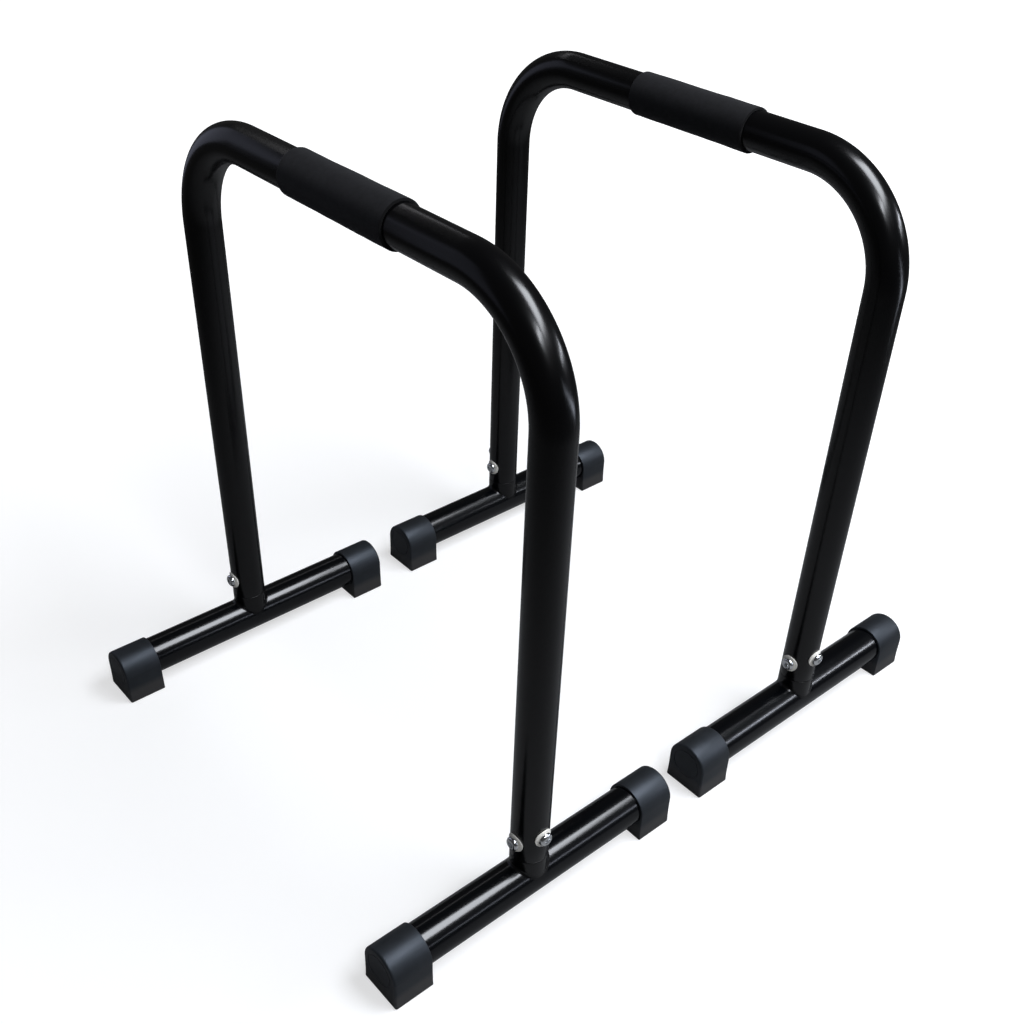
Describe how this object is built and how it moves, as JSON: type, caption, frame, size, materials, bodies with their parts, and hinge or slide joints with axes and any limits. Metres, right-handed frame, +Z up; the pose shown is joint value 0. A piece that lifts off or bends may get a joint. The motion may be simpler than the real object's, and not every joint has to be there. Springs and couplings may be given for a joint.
{
  "type": "parallette bar",
  "caption": "Pair of free-standing parallette dip bars: bent steel tubes with foam grips, bolted to base tubes with rubber feet.",
  "frame": {"origin": "on the floor, midway between the four legs of the pair at rest", "axes": "+X along the base tubes, from the left stand to the right one; +Y along the gripped bars, from front to rear; +Z up"},
  "size_m": [0.85, 0.6294, 0.7262],
  "materials": {
    "satin_powder_coat": "satin black powder coat on steel tube",
    "gloss_powder_coat": "gloss black powder coat on steel tube",
    "rubber": "matte blue-black moulded rubber",
    "foam": "matte black closed-cell foam",
    "zinc": "bright zinc plate"
  },
  "bodies": {
    "left_stand": {"left_frame_tube": "satin_powder_coat", "left_grip": "foam", "left_front_base_tube": "gloss_powder_coat", "left_front_spigot": "satin_powder_coat", "left_front_weld": "satin_powder_coat", "left_front_left_foot": "rubber", "left_front_right_foot": "rubber", "left_front_side_bolt": "zinc", "left_front_side_washer": "zinc", "left_front_side_nut": "zinc", "left_front_end_bolt": "zinc", "left_front_end_washer": "zinc", "left_front_end_nut": "zinc", "left_rear_base_tube": "gloss_powder_coat", "left_rear_spigot": "satin_powder_coat", "left_rear_weld": "satin_powder_coat", "left_rear_left_foot": "rubber", "left_rear_right_foot": "rubber", "left_rear_side_bolt": "zinc", "left_rear_side_washer": "zinc", "left_rear_side_nut": "zinc", "left_rear_end_bolt": "zinc", "left_rear_end_washer": "zinc", "left_rear_end_nut": "zinc"},
    "right_stand": {"right_frame_tube": "satin_powder_coat", "right_grip": "foam", "right_front_base_tube": "gloss_powder_coat", "right_front_spigot": "satin_powder_coat", "right_front_weld": "satin_powder_coat", "right_front_left_foot": "rubber", "right_front_right_foot": "rubber", "right_front_side_bolt": "zinc", "right_front_side_washer": "zinc", "right_front_side_nut": "zinc", "right_front_end_bolt": "zinc", "right_front_end_washer": "zinc", "right_front_end_nut": "zinc", "right_rear_base_tube": "gloss_powder_coat", "right_rear_spigot": "satin_powder_coat", "right_rear_weld": "satin_powder_coat", "right_rear_left_foot": "rubber", "right_rear_right_foot": "rubber", "right_rear_side_bolt": "zinc", "right_rear_side_washer": "zinc", "right_rear_side_nut": "zinc", "right_rear_end_bolt": "zinc", "right_rear_end_washer": "zinc", "right_rear_end_nut": "zinc"}
  },
  "joints": [
    {"name": "stand_spacing", "type": "slide", "parent": "left_stand", "child": "right_stand", "axis": [1, 0, 0], "range_m": [-0.045, 0.3]}
  ]
}
